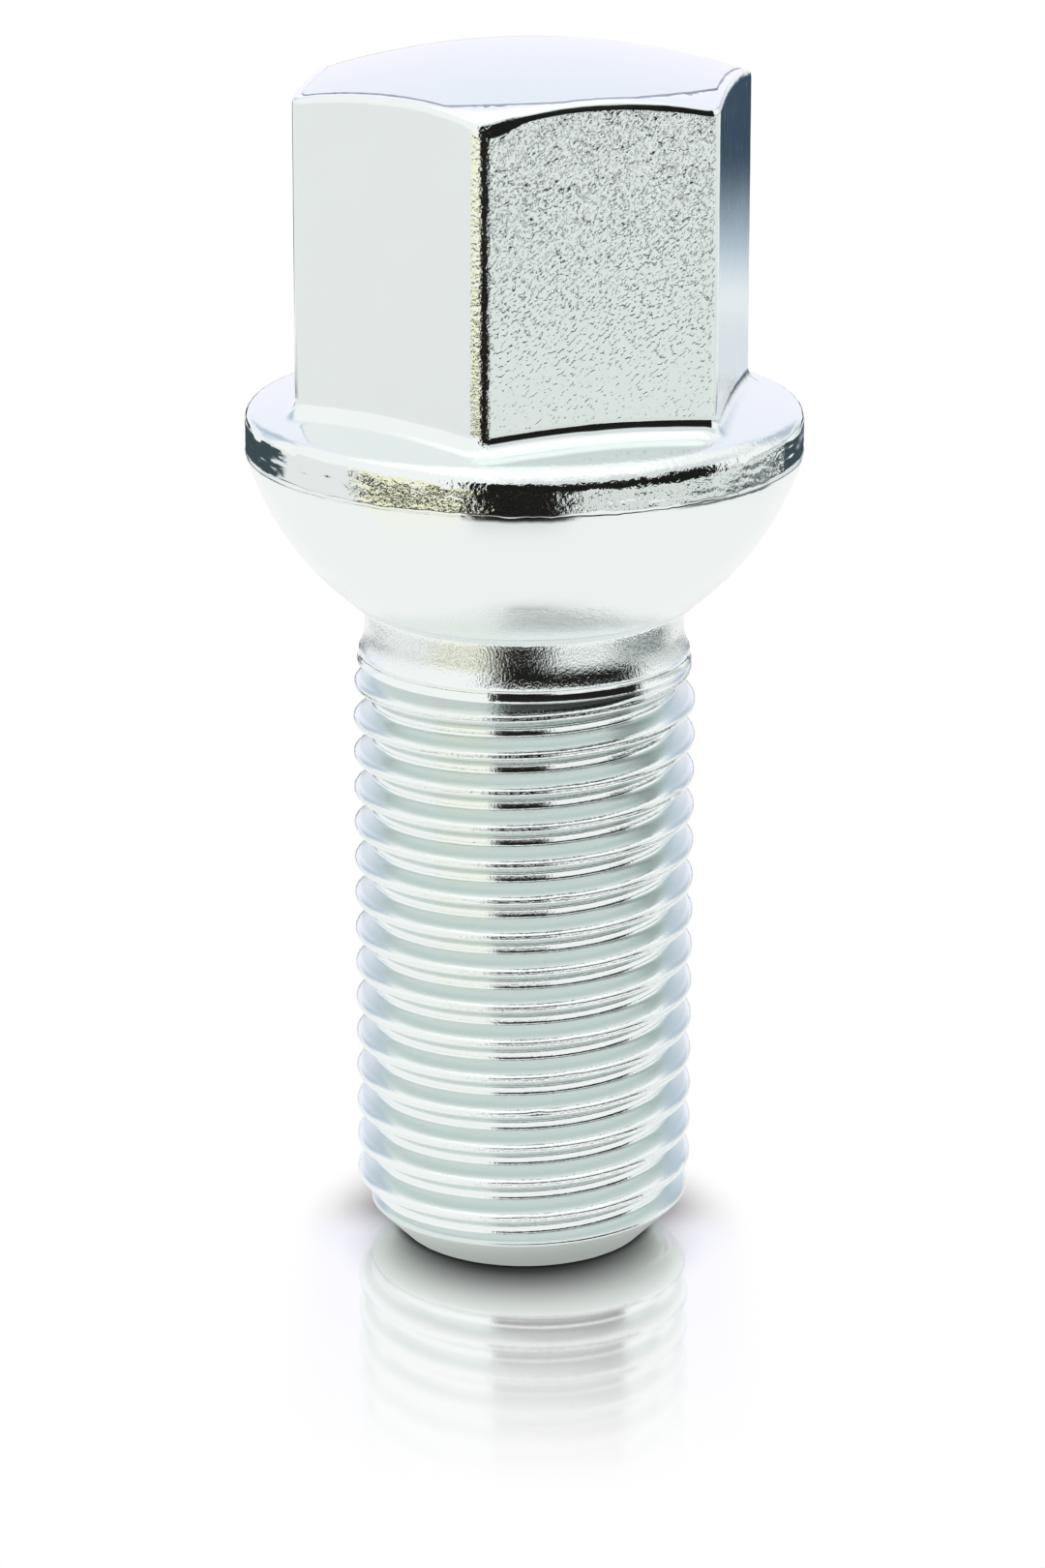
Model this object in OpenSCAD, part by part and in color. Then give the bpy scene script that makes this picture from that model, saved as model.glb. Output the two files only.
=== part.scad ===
// Wheel bolt: domed hexagon head, flange, ball seat, plain neck and metric fine thread, all one piece.
// It stands on its flat tip. The tip's centre is the origin, +Z runs up the axis to the head,
// and one flat of the hexagon faces -Y.

/* [Head] */
// Width across the flats of the hexagon
hex_af = 16.6; // [15.6:0.1:17]
// Radius on the six upright edges of the hexagon
hex_edge_r = 0.65; // [0.3:0.05:1.2]
// Height of the head, from the top edge of the flange to the top of the dome
head_h = 14.3; // [10:0.1:18]
// Radius of the shallow dome on top of the head
dome_r = 28; // [22:1:40]
// How far the dome was struck off the axis, towards -Y
dome_shift = 0.9; // [0:0.1:1.2]
// Diameter at which the corner chamfer starts
chamfer_d = 16; // [14:0.1:16.5]
// How far the chamfer starts below the top of the dome
chamfer_drop = 0.92; // [0.6:0.02:1.5]
// Slope of the chamfer, from the level
chamfer_slope = 30; // [20:1:35]
// Radius of the hollow fillet where the hexagon meets the flange
base_fillet = 0.75; // [0.3:0.05:0.9]

/* [Flange and ball seat] */
// Spherical radius of the ball seat
seat_r = 11.5; // [11.3:0.1:13]
// How far the rim of the flange lies inside the ball's radius
flange_inset = 0.4; // [0.1:0.05:0.6]
// Height of the upright band around the flange
band_h = 1.65; // [1.2:0.05:3]
// Radius on the top edge of the band
rim_r = 0.4; // [0.1:0.05:0.8]
// Slope of the top of the flange, from the level
flange_slope = 11; // [4:1:16]

/* [Neck] */
// Length from the tip to the foot of the ball seat
shank_len = 26.7; // [20:0.1:40]
// Diameter of the plain neck, which is the blank that the thread is rolled on
neck_d = 13; // [12.6:0.1:13.4]
// Length of the neck, from the foot of the seat to the end of the thread
neck_len = 1.5; // [1:0.1:5]
// Radius of the turned groove at the foot of the seat
groove_r = 0.3; // [0.2:0.05:0.5]
// Depth of that groove in the neck
groove_depth = 0.06; // [0.02:0.01:0.1]

/* [Thread] */
// Diameter over the crests
thread_d = 13.76; // [13.6:0.02:14]
// Diameter at the roots
root_d = 12.16; // [12:0.02:12.4]
// Pitch
pitch = 1.5; // [1.25:0.25:2]
// Width of the flat on a crest
crest_flat = 0.2; // [0.1:0.02:0.3]
// Width of the flat in a root
root_flat = 0.38; // [0.2:0.02:0.5]
// Turns over which the thread fades out into the neck
fade_turns = 1.4; // [0.5:0.1:3]
// Height of a crest above the tip, on the -Y side
first_crest = 1.41; // [0.2:0.01:2]
// Diameter of the flat end
tip_d = 10.06; // [8:0.02:11]
// Slope of the end chamfer, from the axis
tip_slope = 45; // [30:1:50]

/* [Hidden] */
$fn = 96;

// Heights above the tip
flange_d = 2 * (seat_r - flange_inset);
seat_z = shank_len + sqrt(pow(seat_r, 2) - pow(neck_d / 2, 2));
band_z = seat_z - sqrt(pow(seat_r, 2) - pow(flange_d / 2, 2));
rim_z = band_z + band_h;
top_z = rim_z + head_h;
dome_z = top_z - dome_r;
fade_z = shank_len - neck_len;
cut_z = fade_z + neck_len / 2;

// How far joined shapes reach into each other
lap = 1;

// Height of the flange's sloping top at a distance from the axis
function slope_z(r) = rim_z + (flange_d / 2 - rim_r - r) * tan(flange_slope);

// Height of the corner chamfer at a distance from the axis
function chamfer_z(r) = top_z - chamfer_drop - (r - chamfer_d / 2) * tan(chamfer_slope);

// Corner arcs of the hexagon
arc_steps = 4;
hex_core = hex_af / 2 - hex_edge_r;
function hex_points(grow) = [
    for (k = [0:5], i = [0:arc_steps])
        let (corner = 60 * k, turn = corner - 30 + 60 * i / arc_steps, r = hex_edge_r + grow)
        [hex_core / cos(30) * cos(corner) + r * cos(turn),
         hex_core / cos(30) * sin(corner) + r * sin(turn)]
];

// Base fillet: rings of points that follow the hexagon and widen down to the flange's slope.
// The first ring is sunk in the hexagon by the lap and the last one in the flange.
fillet_steps = 6;
fillet_lap = 0.03;
ring_size = 6 * (arc_steps + 1);
fillet_rings = [for (s = [0:fillet_steps]) fillet_ring(90 * s / fillet_steps)];
function fillet_ring(a) = [
    for (p = hex_points(base_fillet * (1 - cos(a)) - fillet_lap * cos(a)))
        [p.x, p.y, slope_z(norm(p)) + base_fillet * (1 - sin(a)) - fillet_lap * sin(a)]
];

// Thread: rows of points that climb the helix, four rows to a pitch
thread_steps = 40;
flank = (pitch - crest_flat - root_flat) / 2;
row_z = [0, root_flat, root_flat + flank, root_flat + flank + crest_flat];
// Turns of the helix below the first crest, which the flat tip cuts away
low_turns = 2;
thread_low = first_crest - row_z[2] - crest_flat / 2 - low_turns * pitch;
thread_turns = ceil((shank_len - thread_low) / pitch);
rows = 4 * thread_turns;
// How far the thread's last rows lie inside the neck
core_lap = 0.12;

// Share of its full depth that the thread has at a height
function depth_at(z) = min(1, max(0, (fade_z - z) / (fade_turns * pitch)));
function row_r(i, z) =
    let (full = (i % 4 < 2) ? root_d / 2 : thread_d / 2, blank = neck_d / 2 - core_lap)
    blank + (full - blank) * sqrt(depth_at(z));
function thread_point(i, j) =
    let (z = thread_low + (floor(i / 4) + j / thread_steps) * pitch + row_z[i % 4],
         a = 360 * j / thread_steps - 90,
         r = row_r(i, z))
    [r * cos(a), r * sin(a), z];

// Number of the point in row i at step j. A full turn leads to the row one pitch higher.
function at(i, j) = (j < thread_steps) ? i * thread_steps + j : at(i + 4, j - thread_steps);
last = thread_steps - 1;

module hexagon() {
    intersection() {
        translate([0, 0, band_z]) linear_extrude(top_z - band_z) polygon(hex_points(0));
        translate([0, -dome_shift, dome_z]) sphere(dome_r);
        rotate_extrude()
            polygon([
                [0, band_z - lap],
                [hex_af, band_z - lap],
                [hex_af, chamfer_z(hex_af)],
                [0, chamfer_z(0)]
            ]);
    }
}

module foot_fillet() {
    n = ring_size;
    low = (fillet_steps + 1) * n;
    points = concat(
        [for (ring = fillet_rings) each ring],
        [[0, 0, rim_z], [0, 0, slope_z(0) + base_fillet]]
    );
    sides = [
        for (s = [0:fillet_steps - 1], k = [0:n - 1])
            let (a = s * n + k, b = s * n + (k + 1) % n)
                each [[a, b, b + n], [a, b + n, a + n]]
    ];
    ends = [
        for (k = [0:n - 1])
            let (next = (k + 1) % n)
                each [[low + 1, next, k], [low, low - n + k, low - n + next]]
    ];
    polyhedron(points, concat(sides, ends));
}

// Flange band, ball seat, groove and neck
module collar() {
    half = flange_d / 2;
    rotate_extrude()
        difference() {
            union() {
                intersection() {
                    translate([0, seat_z]) circle(seat_r);
                    translate([0, shank_len - lap]) square([half, band_z + band_h / 2 - shank_len + lap]);
                }
                translate([0, band_z]) square([half, band_h - rim_r]);
                translate([half - rim_r, rim_z - rim_r]) circle(rim_r);
                polygon([
                    [0, band_z],
                    [half - rim_r, band_z],
                    [half - rim_r, rim_z],
                    [0, slope_z(0)]
                ]);
                translate([0, fade_z]) square([neck_d / 2, neck_len + lap]);
            }
            translate([neck_d / 2 + groove_r - groove_depth, shank_len - groove_r / 2]) circle(groove_r);
            translate([-seat_r, 0]) square([seat_r, top_z]);
        }
}

module helix() {
    low = (rows + 1) * thread_steps;
    points = concat(
        [for (i = [0:rows], j = [0:last]) thread_point(i, j)],
        [[0, 0, thread_low - pitch], [0, 0, thread_low + (thread_turns + 2) * pitch]]
    );
    sides = [
        for (j = [0:last], i = [0:rows - (j == last ? 5 : 1)])
            each [[at(i, j), at(i + 1, j), at(i + 1, j + 1)], [at(i, j), at(i + 1, j + 1), at(i, j + 1)]]
    ];
    bottom = [
        for (j = [0:last]) [low, at(0, j), at(0, j + 1)],
        for (i = [3:-1:0]) [low, at(i + 1, 0), at(i, 0)]
    ];
    top = [
        for (j = [0:last - 1]) [low + 1, at(rows, j + 1), at(rows, j)],
        [low + 1, at(rows, 0), at(rows - 4, last)],
        for (i = [rows - 4:rows - 1]) [low + 1, at(i, last), at(i + 1, last)]
    ];
    polyhedron(points, concat(sides, bottom, top));
}

module thread() {
    intersection() {
        helix();
        rotate_extrude()
            polygon([
                [0, 0],
                [tip_d / 2, 0],
                [thread_d, (thread_d - tip_d / 2) / tan(tip_slope)],
                [thread_d, cut_z],
                [0, cut_z]
            ]);
    }
}

module wheel_bolt() {
    color("silver") {
        hexagon();
        foot_fillet();
        collar();
        thread();
    }
}

wheel_bolt();
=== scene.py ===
import math

import bpy
import numpy as np
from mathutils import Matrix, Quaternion, Vector


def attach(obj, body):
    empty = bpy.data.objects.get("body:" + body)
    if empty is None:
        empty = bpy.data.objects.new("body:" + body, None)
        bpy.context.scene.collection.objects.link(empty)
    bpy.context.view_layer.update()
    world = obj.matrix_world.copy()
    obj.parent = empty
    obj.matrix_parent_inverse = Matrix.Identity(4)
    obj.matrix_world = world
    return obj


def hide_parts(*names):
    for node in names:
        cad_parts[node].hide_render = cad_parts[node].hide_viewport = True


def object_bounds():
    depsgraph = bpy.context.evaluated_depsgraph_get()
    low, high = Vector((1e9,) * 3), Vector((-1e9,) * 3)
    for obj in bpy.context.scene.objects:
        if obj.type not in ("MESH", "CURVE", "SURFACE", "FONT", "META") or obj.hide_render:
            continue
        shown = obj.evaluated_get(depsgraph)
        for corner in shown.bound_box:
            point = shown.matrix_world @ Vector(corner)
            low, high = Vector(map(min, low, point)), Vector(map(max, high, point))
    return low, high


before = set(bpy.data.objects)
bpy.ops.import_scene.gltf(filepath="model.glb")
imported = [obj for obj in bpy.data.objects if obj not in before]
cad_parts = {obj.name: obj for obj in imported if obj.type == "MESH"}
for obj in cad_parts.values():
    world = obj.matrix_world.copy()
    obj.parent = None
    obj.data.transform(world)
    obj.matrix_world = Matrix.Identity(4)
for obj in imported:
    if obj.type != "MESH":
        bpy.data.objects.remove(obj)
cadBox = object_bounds()

mm = 0.001
tan30, cos30 = math.tan(math.radians(30)), math.cos(math.radians(30))


# Camera, as the bolt is seen in the photograph
shot = {
    "place": (-65.84, -181.69, 81.16),  # mm
    "aim": (0.0, 0.0, 19.0),
    "lens": 115.1,  # mm, as is the sensor
    "sensor": 36.0,
    "roll": 0.0013,  # radians
    "shiftX": -0.001,
    "clip": (0.01, 20.0),  # m
}
# degrees round the axis at which the camera stands
front = round(math.degrees(math.atan2(shot["place"][1], shot["place"][0])), 2)


def makeCamera(c):
    data = bpy.data.cameras.new("camera")
    data.lens = c["lens"]
    data.sensor_width = c["sensor"]
    data.shift_x = c["shiftX"]
    data.clip_start, data.clip_end = c["clip"]
    cam = bpy.data.objects.new("camera", data)
    bpy.context.scene.collection.objects.link(cam)
    place, aim = Vector(c["place"]) * mm, Vector(c["aim"]) * mm
    cam.location = place
    cam.rotation_mode = "QUATERNION"
    cam.rotation_quaternion = (aim - place).to_track_quat("-Z", "Y") @ Quaternion((0, 0, 1), c["roll"])
    bpy.context.scene.camera = cam
    return cam


makeCamera(shot)
print("camera ready")


def roundField(seed, across, along, angle):
    # Smooth random heights that close on themselves round the bolt, for the forging's unevenness.
    # They are read at a row of the grid, at the angles given here.
    grid = np.random.default_rng(seed).uniform(-1, 1, (along, across))

    def read(row):
        u, v = np.broadcast_arrays((angle % 360) / 360 * across, np.asarray(row, float))
        i, j = np.floor(u).astype(int), np.floor(v).astype(int)
        fu, fv = u - i, v - j
        fu, fv = fu * fu * (3 - 2 * fu), fv * fv * (3 - 2 * fv)
        a, b = i % across, (i + 1) % across
        c, d = j % along, (j + 1) % along
        low = grid[c, a] * (1 - fu) + grid[c, b] * fu
        high = grid[d, a] * (1 - fu) + grid[d, b] * fu
        return low * (1 - fv) + high * fv

    return read


def softMin(a, b, k):
    h = np.clip(0.5 + 0.5 * (b - a) / k, 0, 1)
    return b * (1 - h) + a * h - k * h * (1 - h)


def softMax(a, b, k):
    return -softMin(-a, -b, k)


def degreesFrom(angle, place):
    # Degrees round the bolt from a place, between -180 and 180
    return (angle - place + 180) % 360 - 180


# Head, flange, ball seat and neck, in mm
head = {
    "acrossFlats": 16.6,
    "cornerRadius": 0.85,
    "draft": 0.03,  # the hexagon is this much wider at its foot, each side
    "top": round(cadBox[1][2] / mm, 2),  # as in the frame
    "domeRadius": 28.0,
    "domeShift": 0.9,  # towards the flat that faces -Y
    "chamferRadius": 8.0,
    "chamferDrop": 0.92,
    "chamferSlope": 24.0,  # degrees
    "creaseRange": (5.0, 9.4),  # distances from the axis between which the dome meets the chamfer
    "creaseGap": 0.3,  # the fold there stays this far inside the top edge
    "domeGap": 0.05,  # and the dome's rows end this far inside the fold
    "foldCut": (0.65, 0.35),  # mean and swing of the fold's depth
    # rows along the fold where they meet: distance out, cut below the surface, zone
    "fold": ((-0.06, -0.004, "dome"), (-0.012, -0.008, "dome"), (0.012, 0.075, "fold"), (0.04, 0.06, "fold"),
             (0.1, 0, "chamfer")),
    "edgeRound": (0.7, 0.12),  # the top edge of the hexagon curves slowly, then sharply
    "edgeTurn": 20.0,  # degrees at which it changes
    "wornCorner": (-116.5, 5.0, 1.1),  # degrees, width in degrees, and how much rounder the edge is there
    "footFillet": 0.62,
    "flangeRadius": round(cadBox[1][0] / mm, 2),  # as in the frame
    "bandInset": 0.045,  # room for the band's roughness
    "rimTop": 34.83,
    "rimStart": 10.6,  # where the flange's slope begins
    "rimRound": (0.5, 0.95),  # at the back and in front
    "rimFront": (-90.0, 40.0),  # middle of the rounder stretch and half its width, in degrees
    "flangeSlope": 11.0,  # degrees
    # lower edge of the band: its drop in front, its rise at the sides, and how far above it the last row lies
    "trim": (0.12, 0.1, 0.11),
    "trimRows": ((0.07, 0.001), (0.03, 0.005), (0.0, 0.02)),  # distance up and back from the band's edge
    "undercut": (0.02, 0.03),  # how far back and down the band ends on the ball
    "ballRadius": 11.5,
    "ballCentre": 36.187,
    "ballInset": 0.03,  # the ball ends this far inside the flange
    "ballStart": 0.06,  # how far below the band's edge the ball's first row lies
    "ballFoot": 27.12,  # where the ball ends in a fine step
    "grainFrom": 0.7,  # share of the ball below which it is grainy
    "step": ((0.014, 0.012, 0.004), (0.026, 0.04, 0.006)),  # distance in and down, jag
    "ring": (0.07, 0.06, 0.05),  # the ring below starts this far in and down, and ends this far from the neck
    "neckRadius": 6.4,
    "neckTop": 26.72,
    "neckEdge": (0.012, 0.01),  # distance out and down of the neck's first row
    "flareTop": 25.9,
    "flareRadius": 2.4,
    # lips below the neck: distance down from the flare's top, distance out from the neck
    "lips": ((1.0, 0.235), (1.02, 0.242), (1.045, 0.235), (1.07, 0.205), (1.1, 0.19), (1.2, 0.207),
             (1.3, 0.235), (1.4, 0.268), (1.45, 0.288), (1.475, 0.31), (1.49, 0.31)),
    "fadeEnd": 25.2,  # where the thread would fade out
    "flatColumns": 22,  # to half a flat
    "cornerColumns": 6,  # to half a corner
    # seed, cells round the bolt and rows of each random field
    "fields": {"wide": (11, 24, 16), "mid": (13, 90, 32), "fine": (12, 240, 64)},
    # height of the unevenness on each part
    "uneven": {"dome": 0.004, "fold": (0.014, 0.01), "edge": 0.006, "flat": 0.006, "foot": 0.004,
               "flange": 0.008, "rim": (0.010, 0.009), "band": (0.010, 0.007), "trim": 0.035,
               "neck": 0.003, "flare": 0.004, "lip": 0.005},
    # where the rows of each part lie, as shares of it, in degrees for arcs, and in mm down the flare
    "rows": {
        "dome": (0.08, 0.2, 0.32, 0.44, 0.55, 0.65, 0.74, 0.82, 0.89, 0.94, 0.97),
        "chamfer": (0.35, 0.6, 0.85, 1.0),
        "sharpEdge": (0.85, 0.6, 0.3),
        "slowEdge": (1, 0.8, 0.6, 0.4, 0.22, 0.08),
        "flat": (0, 0.012, 0.03, 0.07, 0.13, 0.21, 0.3, 0.4, 0.5, 0.6, 0.7, 0.79, 0.87, 0.93, 0.97, 0.99),
        "foot": (0, 12, 24, 36, 48, 60, 72, 83),
        "flange": (0.02, 0.2, 0.4, 0.6, 0.8, 1.0),
        "rim": (70, 61, 52, 44, 36, 28, 20, 12, 5),
        "band": (0.0, 0.12, 0.25, 0.38, 0.5, 0.62, 0.74, 0.87, 1.0),
        "ball": (0, 0.03, 0.1, 0.18, 0.26, 0.34, 0.42, 0.5, 0.58, 0.66, 0.74, 0.82, 0.89, 0.95, 0.99, 1.0),
        "ring": (0.15, 0.5, 0.85, 0.95),
        "neck": (0.08, 0.35, 0.7),
        "flare": (0, 0.15, 0.3, 0.45, 0.6, 0.75, 0.9, 0.97),
    },
}

# Thread, in mm
thread = {
    "pitch": 1.5,
    "firstCrest": 1.41,  # on the -Y side
    "crestRadius": 6.88,
    "rootRadius": 6.08,
    "crestHalf": 0.11,
    "rootHalf": 0.17,
    "crestRounding": (0.05, 0.15),  # on the lower and the upper side of a crest
    "rootRounding": (0.09, 0.09),  # at the foot of the lower and the upper flank
    "sideChange": 0.2,  # over which the rounding changes from the lower to the upper side
    "tipRounding": 0.25,
    "blankRadius": 6.38,
    "fadeTurns": 1.4,
    "tipRadius": 5.03,
    "tipEdge": 0.02,  # how far the flat end lies inside the chamfer's edge
    "tipTop": 1.5,  # the chamfer at the tip ends below this height
    "tipMargin": 0.06,  # how near its cone a face of the chamfer lies
    "columns": 144,
    "joinHeight": 24.4,  # where the neck's rows end
    "joinGap": 0.04,  # the thread's rows end this much lower
    "snap": 0.004,  # rows this near the tip or the join lie on it
    "seamField": (21, 150, 40),  # seed, cells round the bolt and rows
    "seamShare": (0.55, 0.9),  # mean and swing of the seam in a crest
    "seamDepth": 0.008,
    "seamHalf": 0.028,
    "waveField": (22, 60, 40),
    "waveHeight": 0.008,
    "waveHalf": 0.12,
    # dents in the crest: degrees round the bolt, turn, depth
    "nicks": ((-105.4, 4, 0.1), (-91.9, 6, 0.06), (-93.4, 5, 0.05), (-114.9, 2, 0.05), (-47.9, 12, 0.1),
              (-96.9, 13, 0.05), (-71.4, 15, 0.06), (-96.9, 10, 0.07), (-110.9, 1, 0.05), (-37.9, 1, 0.08),
              (20.0, 8, 0.07), (75.0, 3, 0.06), (140.0, 11, 0.08), (170.0, 5, 0.06)),
    "nickSize": (1.6, 0.13),  # degrees round the bolt, and mm along it
    # distances from the crest's middle at which the rows of a turn lie
    "rows": (0, 0.035, 0.07, 0.11, 0.16, 0.22, 0.3, 0.39, 0.47, 0.54, 0.61, 0.68, 0.75),
}


def hexRadius(angle, apothem, edge, grow=0.0):
    # Distance of the rounded hexagon's outline from the axis, at angles in degrees
    off = np.abs(angle % 60 - 30)
    core, side, arc = apothem - edge, apothem + grow, edge + grow
    reach = np.degrees(np.arctan(core * tan30 / side))
    swing = np.radians(30 - off)
    middle = core / cos30
    corner = middle * np.cos(swing) + np.sqrt(np.maximum(arc**2 - (middle * np.sin(swing)) ** 2, 0))
    return np.where(off < reach, side / np.cos(np.radians(off)), corner)


def headAngles(h):
    # Columns lie evenly on each flat and follow the corner's arc
    apothem, edge = h["acrossFlats"] / 2, h["cornerRadius"]
    core = apothem - edge
    flat = np.degrees(np.arctan(np.linspace(0, core * tan30, h["flatColumns"] + 1) / apothem))
    turn = np.radians(np.linspace(0, 30, h["cornerColumns"] + 1)[1:])
    x = core + edge * np.cos(turn)
    y = core * tan30 + edge * np.sin(turn)
    half = np.concatenate([flat, np.degrees(np.arctan2(y, x))])
    sector = np.concatenate([-half[::-1][:-1], half])[:-1]  # the last one opens the next sector
    return np.concatenate([sector + 60 * k + 30 for k in range(6)])


def slopeAt(h, r):
    # Height of the flange's sloping top
    return h["rimTop"] + (h["rimStart"] - r) * math.tan(math.radians(h["flangeSlope"]))


def hexagonRows(h, angle, wide, mid, fine):
    # Dome, fold, chamfer, flats and foot fillet
    uneven, rows = h["uneven"], h["rows"]
    turn = np.radians(angle)
    chamfer = math.radians(h["chamferSlope"])

    # the dome is struck a little off the axis
    domeZ = h["top"] - h["domeRadius"]
    shiftOut = -h["domeShift"] * np.sin(turn)
    shiftSide = h["domeShift"] * np.cos(turn)
    ring = np.sqrt(h["domeRadius"] ** 2 - shiftSide**2)

    def domeAt(r):
        return domeZ + np.sqrt(ring**2 - (r - shiftOut) ** 2)

    def chamferAt(r):
        return h["top"] - h["chamferDrop"] - (r - h["chamferRadius"]) * math.tan(chamfer)

    # rounded edge between the chamfer, or the dome behind, and the flats
    apothem = h["acrossFlats"] / 2
    topRadius = hexRadius(angle, apothem - h["draft"], h["cornerRadius"])
    wornAt, wornWide, wornMore = h["wornCorner"]
    gentle = h["edgeRound"][0] + wornMore * np.exp(-(degreesFrom(angle, wornAt) / wornWide) ** 2)
    tight = h["edgeRound"][1]
    change = math.radians(h["edgeTurn"])
    near = topRadius - 0.1
    lastTurn = np.where(chamferAt(near) < domeAt(near), math.pi / 2 - chamfer,
                        np.arctan2(domeAt(near) - domeZ, near - shiftOut))

    def edgeAt(tilt):
        # how far in and how far up the edge's surface lies where it leans back by this angle
        first, second = np.minimum(tilt, change), np.maximum(tilt, change)
        back = gentle * (1 - np.cos(first)) + tight * (math.cos(change) - np.cos(second))
        return back, gentle * np.sin(first) + tight * (np.sin(second) - math.sin(change))

    edgeBack, edgeUp = edgeAt(lastTurn)
    edgeIn = topRadius - edgeBack
    filletZ = np.minimum(chamferAt(edgeIn), domeAt(edgeIn)) - edgeUp

    # the crease where the dome meets the chamfer, found by halving
    low, high = (side * np.ones_like(angle) for side in h["creaseRange"])
    for _ in range(30):
        half = (low + high) / 2
        inside = chamferAt(half) > domeAt(half)
        low, high = np.where(inside, half, low), np.where(inside, high, half)
    crease = np.minimum(low, edgeIn - h["creaseGap"])

    for share in rows["dome"]:
        r = share * (crease - h["domeGap"])
        yield r, domeAt(r) + uneven["dome"] * wide(8 * share), "dome"
    nick = h["foldCut"][0] + h["foldCut"][1] * fine(3)
    jagged = uneven["fold"][0] * fine(5) + uneven["fold"][1] * mid(2)
    for step, cut, zone in h["fold"]:
        r = crease + step + jagged
        yield r, np.minimum(domeAt(r), chamferAt(r)) - cut * nick, zone
    foldEnd = h["fold"][-1][0]
    for share in rows["chamfer"]:
        r = crease + foldEnd + share * (edgeIn - crease - foldEnd)
        yield r, np.minimum(domeAt(r), chamferAt(r)), "chamfer"
    for share in rows["sharpEdge"]:
        back, up = edgeAt(change + (lastTurn - change) * share)
        yield topRadius - back, filletZ + up, "edge"
    for share in rows["slowEdge"]:
        back, up = edgeAt(change * share)
        rough = (uneven["edge"] * mid(6 * share) + uneven["edge"] * fine(9 * share)) * share
        yield topRadius - back + rough, filletZ + up, "edge"

    # flats
    footRadius = hexRadius(angle, apothem, h["cornerRadius"])
    footZ = slopeAt(h, footRadius) + h["footFillet"]
    for share in rows["flat"]:
        r = topRadius + (footRadius - topRadius) * share
        bump = uneven["flat"] * wide(10 * share + 3) * math.sin(math.pi * share)
        yield r + bump, filletZ + (footZ - filletZ) * share, "flat"

    # foot fillet: rings that widen from the flats to the flange's slope
    for a in np.radians(rows["foot"]):
        r = hexRadius(angle, apothem, h["cornerRadius"], h["footFillet"] * (1 - math.cos(a)))
        rough = uneven["foot"] * mid(4 * a + 20)
        yield r + rough, slopeAt(h, r) + h["footFillet"] * (1 - math.sin(a)), "foot"


def flangeRows(h, angle, wide, mid, fine):
    # Sloping top, rim, band and ball seat
    uneven, rows = h["uneven"], h["rows"]
    slope = math.radians(h["flangeSlope"])
    outer = hexRadius(angle, h["acrossFlats"] / 2, h["cornerRadius"], h["footFillet"])
    bandRadius = h["flangeRadius"] - h["bandInset"]
    frontMiddle, frontWide = h["rimFront"]
    inFront = np.exp(-(degreesFrom(angle, frontMiddle) / frontWide) ** 4)
    rimRound = h["rimRound"][0] + (h["rimRound"][1] - h["rimRound"][0]) * inFront
    rimIn = bandRadius - rimRound
    rimEnd = rimIn + rimRound * math.sin(slope)
    for share in rows["flange"]:
        r = outer + (rimEnd - outer) * share
        yield r, slopeAt(h, r) + uneven["flange"] * wide(5 + 2 * share) * (1 - share), "flange"

    # rim and band, rough from the forging die, its lower edge trimmed unevenly
    centreZ = slopeAt(h, rimIn) - rimRound / math.cos(slope)
    for a in np.radians(rows["rim"]):
        rough = uneven["rim"][0] * mid(3 * a + 9) + uneven["rim"][1] * fine(9 * a)
        yield rimIn + (rimRound + rough) * math.cos(a), centreZ + (rimRound + rough) * math.sin(a), "band"
    bandLow = h["ballCentre"] - math.sqrt(h["ballRadius"] ** 2 - h["flangeRadius"] ** 2)
    frontward = np.cos(np.radians(angle) - math.radians(front))
    drop, rise, above = h["trim"]
    lowEdge = (bandLow - drop + rise * (1 - frontward)
               + uneven["trim"] * mid(1.5) + uneven["trim"] * fine(2.5))
    for share in rows["band"]:
        z = centreZ + (lowEdge + above - centreZ) * share
        rough = uneven["band"][0] * mid(8 * share + 2) + uneven["band"][1] * fine(12 * share + 7)
        yield bandRadius + rough, z, "band"
    for up, back in h["trimRows"]:
        yield bandRadius + rough - back, lowEdge + up, "trim"

    # ball seat, which ends inside the flange
    widest = h["flangeRadius"] - h["ballInset"]
    back, down = h["undercut"]
    onBall = np.sqrt(h["ballRadius"] ** 2 - (lowEdge - h["ballCentre"]) ** 2)
    yield np.minimum(onBall, widest) - back, lowEdge - down, "trim"
    start = np.arcsin((h["ballCentre"] - lowEdge + h["ballStart"]) / h["ballRadius"])
    stop = math.asin((h["ballCentre"] - h["ballFoot"]) / h["ballRadius"])
    for share in rows["ball"]:
        a = start + (stop - start) * share
        r = np.minimum(h["ballRadius"] * np.cos(a), widest)
        zone = "ball" if share < h["grainFrom"] else "ballFoot"
        yield r, h["ballCentre"] - h["ballRadius"] * np.sin(a), zone


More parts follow.
